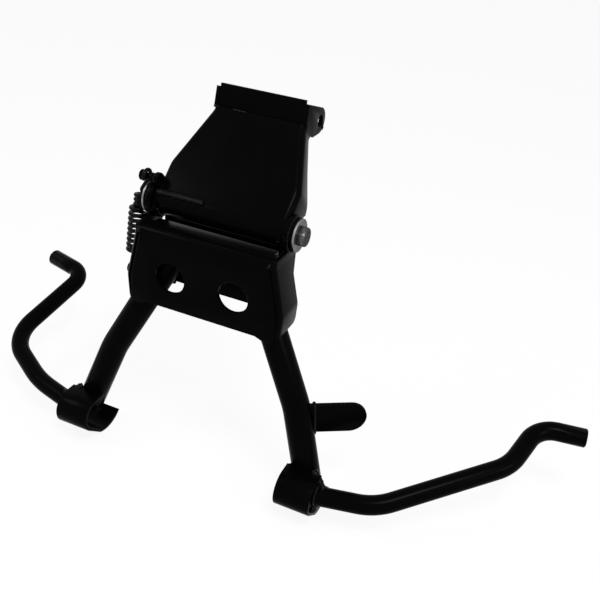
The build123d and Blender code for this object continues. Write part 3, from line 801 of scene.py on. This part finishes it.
@dataclass
class StandFrame:
    """The cross plate, rear panel, legs, feet, tread rods and rest tab.

    Routes are those of the right side. The left side mirrors them.

    Attributes:
        fold: the cross plate's rounded folds.
        plate_seam, plate_bead: route and size of the bead from the plate to a leg.
        panel_seam, panel_bead: the same from the rear panel to a leg.
        corner, corner_bead: the same at the plate's upper corner.
        leg_radius: radius of a leg.
        lip_centre: the leg's axis at the level of the foot's lip.
        lip_arc: start and sweep of the bead round the leg there, in degrees.
        lip_proud: distance of that bead from the leg.
        lip_steps: parts of that bead's route.
        lip_bead: size of that bead.
        strip_end: outer end of the foot's strip in X.
        rod_radius: radius of a tread rod.
        rod_at_end: the rod's axis in Y and Z at the strip's outer end.
        rod_arc: start and sweep of the bead round the rod there, in degrees.
        rod_arc_out: distance of that bead from the strip's end.
        rod_arc_proud: distance of that bead from the rod.
        rod_steps: parts of that bead's route.
        rod_bead: size of that bead.
        rod_seam, rod_seam_bead: route and size of the bead from the rod to the leg.
        pocket, pocket_bead: the same inside the strip's outer end.
        tab_root: foot of the rest tab on the right leg.
        tab_rise: way up the leg along the tab.
        tab_across: way across the tab, for one millimetre.
        tab_half: distance of the two beads from the tab's middle.
        tab_bead: size of those beads.
    """

    fold: Fold = Fold(radius=4.5, beyond=50.0)
    plate_seam: tuple[Point, ...] = ((53.3, -32.7, -89.0), (71.3, -32.7, -90.8))
    plate_bead: BeadSize = BeadSize(4.2, 3.2)
    panel_seam: tuple[Point, ...] = ((48.3, -1.2, -82.6), (59.3, -1.2, -82.6))
    panel_bead: BeadSize = BeadSize(3.6, 2.8)
    corner: tuple[Point, ...] = ((63.4, -36.6, -17.6), (64.8, -35.0, -14.6))
    corner_bead: BeadSize = BeadSize(2.6, 2.2)
    leg_radius: float = 13.0
    lip_centre: Point = (116.9, -40.4, -208.4)
    lip_arc: Pair = (28.0, 124.0)
    lip_proud: float = 0.6
    lip_steps: int = 20
    lip_bead: BeadSize = BeadSize(4.6, 3.6)
    strip_end: float = 137.5
    rod_radius: float = 9.1
    rod_at_end: Pair = (-59.2, -221.2)
    rod_arc: Pair = (10.0, 240.0)
    rod_arc_out: float = 0.4
    rod_arc_proud: float = 0.5
    rod_steps: int = 30
    rod_bead: BeadSize = BeadSize(2.8, 3.2)
    rod_seam: tuple[Point, ...] = ((129.6, -48.6, -206.4), (143.6, -58.2, -213.6))
    rod_seam_bead: BeadSize = BeadSize(7.4, 7.0, 2.2)
    pocket: tuple[Point, ...] = (
        (137.6, -67.0, -233.6), (137.6, -60.0, -236.4), (137.6, -50.0, -238.6))
    pocket_bead: BeadSize = BeadSize(6.6, 8.6, 2.6)
    tab_root: Point = (117.0, -26.2, -179.0)
    tab_rise: Point = (-3.4, 1.8, 28.8)
    tab_across: Point = (-0.53, 0.85, 0.0)
    tab_half: float = 2.6
    tab_bead: BeadSize = BeadSize(3.0, 2.4)

    def build(self) -> None:
        """Dress the stand's nodes and add its welds."""
        body = Body.STAND
        DressedNode("cross_plate", body, ENAMEL, edge=0.5, segments=3, merge=0.01,
                    fold=self.fold).build()
        DressedNode("rear_panel", body, ENAMEL, edge=0.5, segments=3).build()
        for side, _ in SIDES:
            DressedNode(f"leg_{side}", body, ENAMEL, edge=0.3).build()
            DressedNode(f"foot_{side}", body, ENAMEL, edge=0.6, segments=3).build()
            DressedNode(f"tread_rod_{side}", body, ENAMEL, edge=0.0, crease=40.0).build()
        DressedNode("rest_tab", body, ENAMEL, edge=0.6, segments=3).build()
        DressedNode("spring_anchor", body, ENAMEL, edge=0.3).build()
        for side, sign in SIDES:
            self._side_welds(side, sign)
        self._tab_welds()

    def _lip_route(self, sign: int) -> list[Point]:
        """Give an arc round a leg in the level plane of the foot's lip.

        Args:
            sign: 1 on the right side, -1 on the left.

        Returns:
            The arc's points, with angles from outboard towards the front.
        """
        x, y, z = self.lip_centre
        start, sweep = self.lip_arc
        reach = self.leg_radius + self.lip_proud
        angles = [radians(start + sweep * i / self.lip_steps) for i in range(self.lip_steps + 1)]
        return [(sign * (x + reach * cos(a)), y - reach * sin(a), z) for a in angles]

    def _rod_route(self, sign: int) -> list[Point]:
        """Give an arc round a rod where it leaves the foot's strip.

        Args:
            sign: 1 on the right side, -1 on the left.

        Returns:
            The arc's points.
        """
        x = sign * (self.strip_end + self.rod_arc_out)
        radius = self.rod_radius + self.rod_arc_proud
        return ring_route(x, radius, *self.rod_at_end, *self.rod_arc, steps=self.rod_steps)

    def _side_welds(self, side: str, sign: int) -> None:
        """Lay the beads on one side of the stand.

        Args:
            side: the side's name.
            sign: 1 on the right side, -1 on the left.
        """
        beads = (
            ("weld_plate_leg", mirrored(self.plate_seam, sign), self.plate_bead),
            ("weld_panel_leg", mirrored(self.panel_seam, sign), self.panel_bead),
            ("weld_corner", mirrored(self.corner, sign), self.corner_bead),
            ("weld_foot_lip", self._lip_route(sign), self.lip_bead),
            ("weld_foot_rod", self._rod_route(sign), self.rod_bead),
            ("weld_rod_leg", mirrored(self.rod_seam, sign), self.rod_seam_bead),
            ("weld_foot_end", mirrored(self.pocket, sign), self.pocket_bead),
        )
        for name, route, size in beads:
            WeldBead(f"{name}_{side}", Body.STAND, route, size).build()

    def _tab_welds(self) -> None:
        """Lay the two upright beads that hold the rest tab on the right leg."""
        for name, shift in (("front", -self.tab_half), ("rear", self.tab_half)):
            foot = Vector(self.tab_root) + Vector(self.tab_across) * shift
            route = [tuple(foot), tuple(foot + Vector(self.tab_rise))]
            WeldBead(f"weld_tab_{name}", Body.STAND, route, self.tab_bead).build()


@dataclass
class ReturnSpring:
    """The extension spring as one wire: two hooks, small turns and large turns.

    Attributes:
        post: middle of the upper hook's pin.
        anchor: middle of the lower hook's pin.
        post_radius: radius of the upper pin.
        anchor_radius: radius of the lower pin.
        eye_gap: play between a hook and its pin.
        eye_arc: angle where a hook's eye starts and the angle it covers, in degrees.
        eye_steps: parts of an eye.
        wire: radius of the wire.
        coil_top: where the coil's axis starts.
        lean: direction of the coil's axis, downwards.
        small_radius, small_turns, small_pitch: the upper, narrow turns.
        blend_turns: part of a turn in which the radius grows.
        large_radius, large_turns, large_pitch: the lower, wide turns.
        steps: points in a turn.
        lead_in: distance from the coil's top to the upper arm's end, along the axis.
        lead_out: distance from the coil's foot to the lower arm's end, along the axis.
        top_share: place of the upper arm's bend, as a share of the way from its eye.
        low_shares: places of the lower arm's two bends, as shares of the way from its
            end to the coil and to its eye.
        wire_fineness: how finely the wire's round section is stepped.
        wire_order: order of the wire's curve.
        wire_parts: parts of the wire between two points.
        crease: angle in degrees past which an edge stays a crease.
        shortest_share: the spring's length with the stand stowed, over that at rest; not used.
    """

    post: Point = (-75.0, -5.0, 21.0)
    anchor: Point = (-89.4, -9.0, -75.0)
    post_radius: float = 3.0
    anchor_radius: float = 3.5
    eye_gap: float = 0.6
    eye_arc: Pair = (200.0, 220.0)
    eye_steps: int = 24
    wire: float = 1.9
    coil_top: Point = (-86.0, 0.5, -0.5)
    lean: Point = (-4.0, -2.6, -55.0)
    small_radius: float = 4.3
    small_turns: float = 3.0
    small_pitch: float = 4.4
    blend_turns: float = 0.5
    large_radius: float = 8.2
    large_turns: float = 8.0
    large_pitch: float = 5.3
    steps: int = 28
    lead_in: float = 3.2
    lead_out: float = 3.4
    top_share: float = 0.55
    low_shares: Pair = (0.25, 0.4)
    wire_fineness: int = 4
    wire_order: int = 3
    wire_parts: int = 3
    crease: float = 50.0
    shortest_share: float = 0.926

    def _turns(self) -> float:
        """Give the number of turns in the whole coil."""
        return self.small_turns + self.blend_turns + self.large_turns

    def _radius(self, turn: float) -> float:
        """Give the coil's radius at a place.

        Args:
            turn: the place, in turns from the top.

        Returns:
            The radius, which grows smoothly after the small turns.
        """
        blend = min(max((turn - self.small_turns) / self.blend_turns, 0.0), 1.0)
        blend = blend * blend * (3 - 2 * blend)
        return self.small_radius + blend * (self.large_radius - self.small_radius)

    def _depth(self, turn: float) -> float:
        """Give the distance down the coil's axis at a turn counted from its top."""
        small = min(turn, self.small_turns)
        return small * self.small_pitch + max(turn - self.small_turns, 0.0) * self.large_pitch

    def _coil(self) -> list[Vector]:
        """Work out the coil turn by turn.

        Returns:
            Its points from the top down.
        """
        axis = Vector(self.lean).normalized()
        across = Vector((1.0, 0.0, -axis.x / axis.z)).normalized()
        forward = axis.cross(across)
        origin = Vector(self.coil_top)
        count = int(self._turns() * self.steps)
        points = []
        for i in range(count + 1):
            turn = self._turns() * i / count
            angle = 2 * pi * turn
            radius = self._radius(turn)
            spin = across * (radius * cos(angle)) + forward * (radius * sin(angle))
            points.append(origin + axis * self._depth(turn) + spin)
        return points

    def _eye(self, pin: Point, radius: float, up: int) -> list[Vector]:
        """Bend a hook's eye round its pin.

        Args:
            pin: middle of the pin.
            radius: radius of the pin.
            up: 1 for an eye over its pin, -1 for one under it.

        Returns:
            The eye's points, from its front side round to its rear.
        """
        x, y, z = pin
        start, sweep = self.eye_arc
        reach = radius + self.wire + self.eye_gap
        angles = [radians(start - sweep * i / self.eye_steps) for i in range(self.eye_steps + 1)]
        return [Vector((x, y + reach * cos(a), z + up * reach * sin(a))) for a in angles]

    def _route(self) -> list[Vector]:
        """Join the two eyes, their arms and the coil.

        Returns:
            The wire's points from the upper eye to the lower one.
        """
        coil = self._coil()
        top_eye = self._eye(self.post, self.post_radius, 1)
        low_eye = self._eye(self.anchor, self.anchor_radius, -1)
        axis = Vector(self.lean).normalized()
        top = Vector(self.coil_top) - axis * self.lead_in
        low = Vector(self.coil_top) + axis * (self._depth(self._turns()) + self.lead_out)
        near_coil, near_eye = self.low_shares
        upper = top_eye + [top_eye[-1].lerp(top, self.top_share), top]
        lower = [low.lerp(coil[-1], near_coil), low.lerp(low_eye[-1], near_eye)] + low_eye[::-1]
        return upper + coil + lower

    def _bend(self, route: list[Vector]) -> bpy.types.Object:
        """Bend a round wire along a route.

        Args:
            route: the points that it follows.

        Returns:
            The wire as a closed mesh.
        """
        curve = bpy.data.curves.new("return_spring_wire", "CURVE")
        curve.dimensions = "3D"
        curve.bevel_depth = self.wire * MM
        curve.bevel_resolution = self.wire_fineness
        curve.use_fill_caps = True
        spline = curve.splines.new("NURBS")
        spline.points.add(len(route) - 1)
        for point, where in zip(spline.points, route):
            point.co = (*place(*where), 1.0)
        spline.order_u = self.wire_order
        spline.use_endpoint_u = True
        spline.resolution_u = self.wire_parts
        piece = bpy.data.objects.new("return_spring_wire", curve)
        bpy.context.scene.collection.objects.link(piece)
        make_active(piece)
        bpy.ops.object.convert(target="MESH")
        return bpy.context.active_object

    def build(self) -> None:
        """Bend the spring and put it on its body."""
        route = self._route()
        piece = self._bend(route)
        smooth(piece, self.crease)
        SPRING_WIRE.put_on(piece)
        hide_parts("return_spring")
        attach(piece, Body.SPRING.value)
        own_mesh(piece)
        log.info("spring with %d points", len(route))


@dataclass(frozen=True)
class Lamp:
    """A soft square lamp, with its side in metres and its power in watts."""

    name: str
    where: Point
    side_m: float
    power: float

    def hang(self, target: Vector) -> None:
        """Hang the lamp so that it faces a point.

        Args:
            target: the point, in metres in the row frame.
        """
        data = bpy.data.lights.new(self.name, "AREA")
        data.shape = "SQUARE"
        data.size = self.side_m
        data.energy = self.power
        lamp = bpy.data.objects.new(self.name, data)
        bpy.context.scene.collection.objects.link(lamp)
        lamp.location = place(*self.where)
        lamp.rotation_euler = (target - lamp.location).to_track_quat("-Z", "Y").to_euler()


@dataclass
class Studio:
    """The floor, the light and the camera.

    Attributes:
        floor_m: side of the floor in metres.
        floor_paint: colour that the floor has in light.
        floor_glow: share of plain white in what the camera sees of the floor.
        sky: colour of the light from all round.
        ambient: strength of that light.
        lamps: the lamps.
        lit: the point that the lamps face.
        sensor_mm: width of the camera's sensor.
        lens_mm: length of its lens.
        near_m: nearest distance that it sees, in metres.
        camera_at: its place.
        camera_right, camera_up, camera_back: its directions.
    """

    floor_m: float = 40.0
    floor_paint: tuple[float, ...] = (0.92, 0.92, 0.92, 1.0)
    floor_glow: float = 0.9
    sky: tuple[float, ...] = (0.97, 0.98, 1.0, 1.0)
    ambient: float = 0.55
    lamps: tuple[Lamp, ...] = (
        Lamp("lamp_top", (560.0, -500.0, 1250.0), 0.45, 13.0),
        Lamp("lamp_right", (1150.0, -350.0, 500.0), 0.4, 3.0),
        Lamp("lamp_left", (-900.0, -500.0, 900.0), 0.4, 4.0),
    )
    lit: Point = (0.0, 0.0, -90.0)
    sensor_mm: float = 36.0
    lens_mm: float = 47.226
    near_m: float = 0.01
    camera_at: Point = (297.1, -565.1, 294.7)
    camera_right: Point = (0.9119, 0.4020, 0.0827)
    camera_up: Point = (-0.2708, 0.4377, 0.8574)
    camera_back: Point = (0.3084, -0.8042, 0.5080)

    def build(self) -> None:
        """Set the world, floor, lamps and camera."""
        bpy.context.scene.view_settings.view_transform = "Standard"
        self._world()
        self._floor()
        for lamp in self.lamps:
            lamp.hang(place(*self.lit))
        self._camera()

    def _world(self) -> None:
        """Make a world that looks white and lights softly."""
        world = bpy.data.worlds.new("studio_world")
        bpy.context.scene.world = world
        graph = NodeGraph(world)
        seen = graph.add("ShaderNodeBackground", Color=WHITE, Strength=1.0)
        light = graph.add("ShaderNodeBackground", Color=self.sky, Strength=self.ambient)
        graph.blend_to_surface(graph.seen_rays(), light.outputs["Background"],
                               seen.outputs["Background"], "ShaderNodeOutputWorld")

    def _floor(self) -> None:
        """Lay a plain white floor at the feet's lowest point."""
        clear_selection()
        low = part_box("foot_right")[0].z
        bpy.ops.mesh.primitive_plane_add(size=self.floor_m, location=(0.0, 0.0, low))
        floor = bpy.context.active_object
        floor.name = "floor"
        made = bpy.data.materials.new("floor_white")
        graph = NodeGraph(made)
        paint = graph.add("ShaderNodeBsdfDiffuse", Color=self.floor_paint)
        glow = graph.add("ShaderNodeEmission", Color=WHITE, Strength=1.0)
        share = graph.math("MULTIPLY", graph.seen_rays(), self.floor_glow)
        graph.blend_to_surface(share, paint.outputs["BSDF"], glow.outputs["Emission"],
                               "ShaderNodeOutputMaterial")
        floor.data.materials.append(made)

    def _camera(self) -> None:
        """Set the camera where the photograph was taken from."""
        data = bpy.data.cameras.new("camera")
        data.sensor_width = self.sensor_mm
        data.lens = self.lens_mm
        data.clip_start = self.near_m
        camera = bpy.data.objects.new("camera", data)
        bpy.context.scene.collection.objects.link(camera)
        turn = Matrix((self.camera_right, self.camera_up, self.camera_back)).transposed().to_4x4()
        camera.matrix_world = Matrix.Translation(place(*self.camera_at)) @ turn
        bpy.context.scene.camera = camera


def main() -> None:
    """Build the whole scene in order."""
    logging.basicConfig(level=logging.INFO, format="%(name)s: %(message)s")
    Hanger().build()
    Pivot().build()
    StandFrame().build()
    ReturnSpring().build()
    Studio().build()


if __name__ == "__main__":
    main()
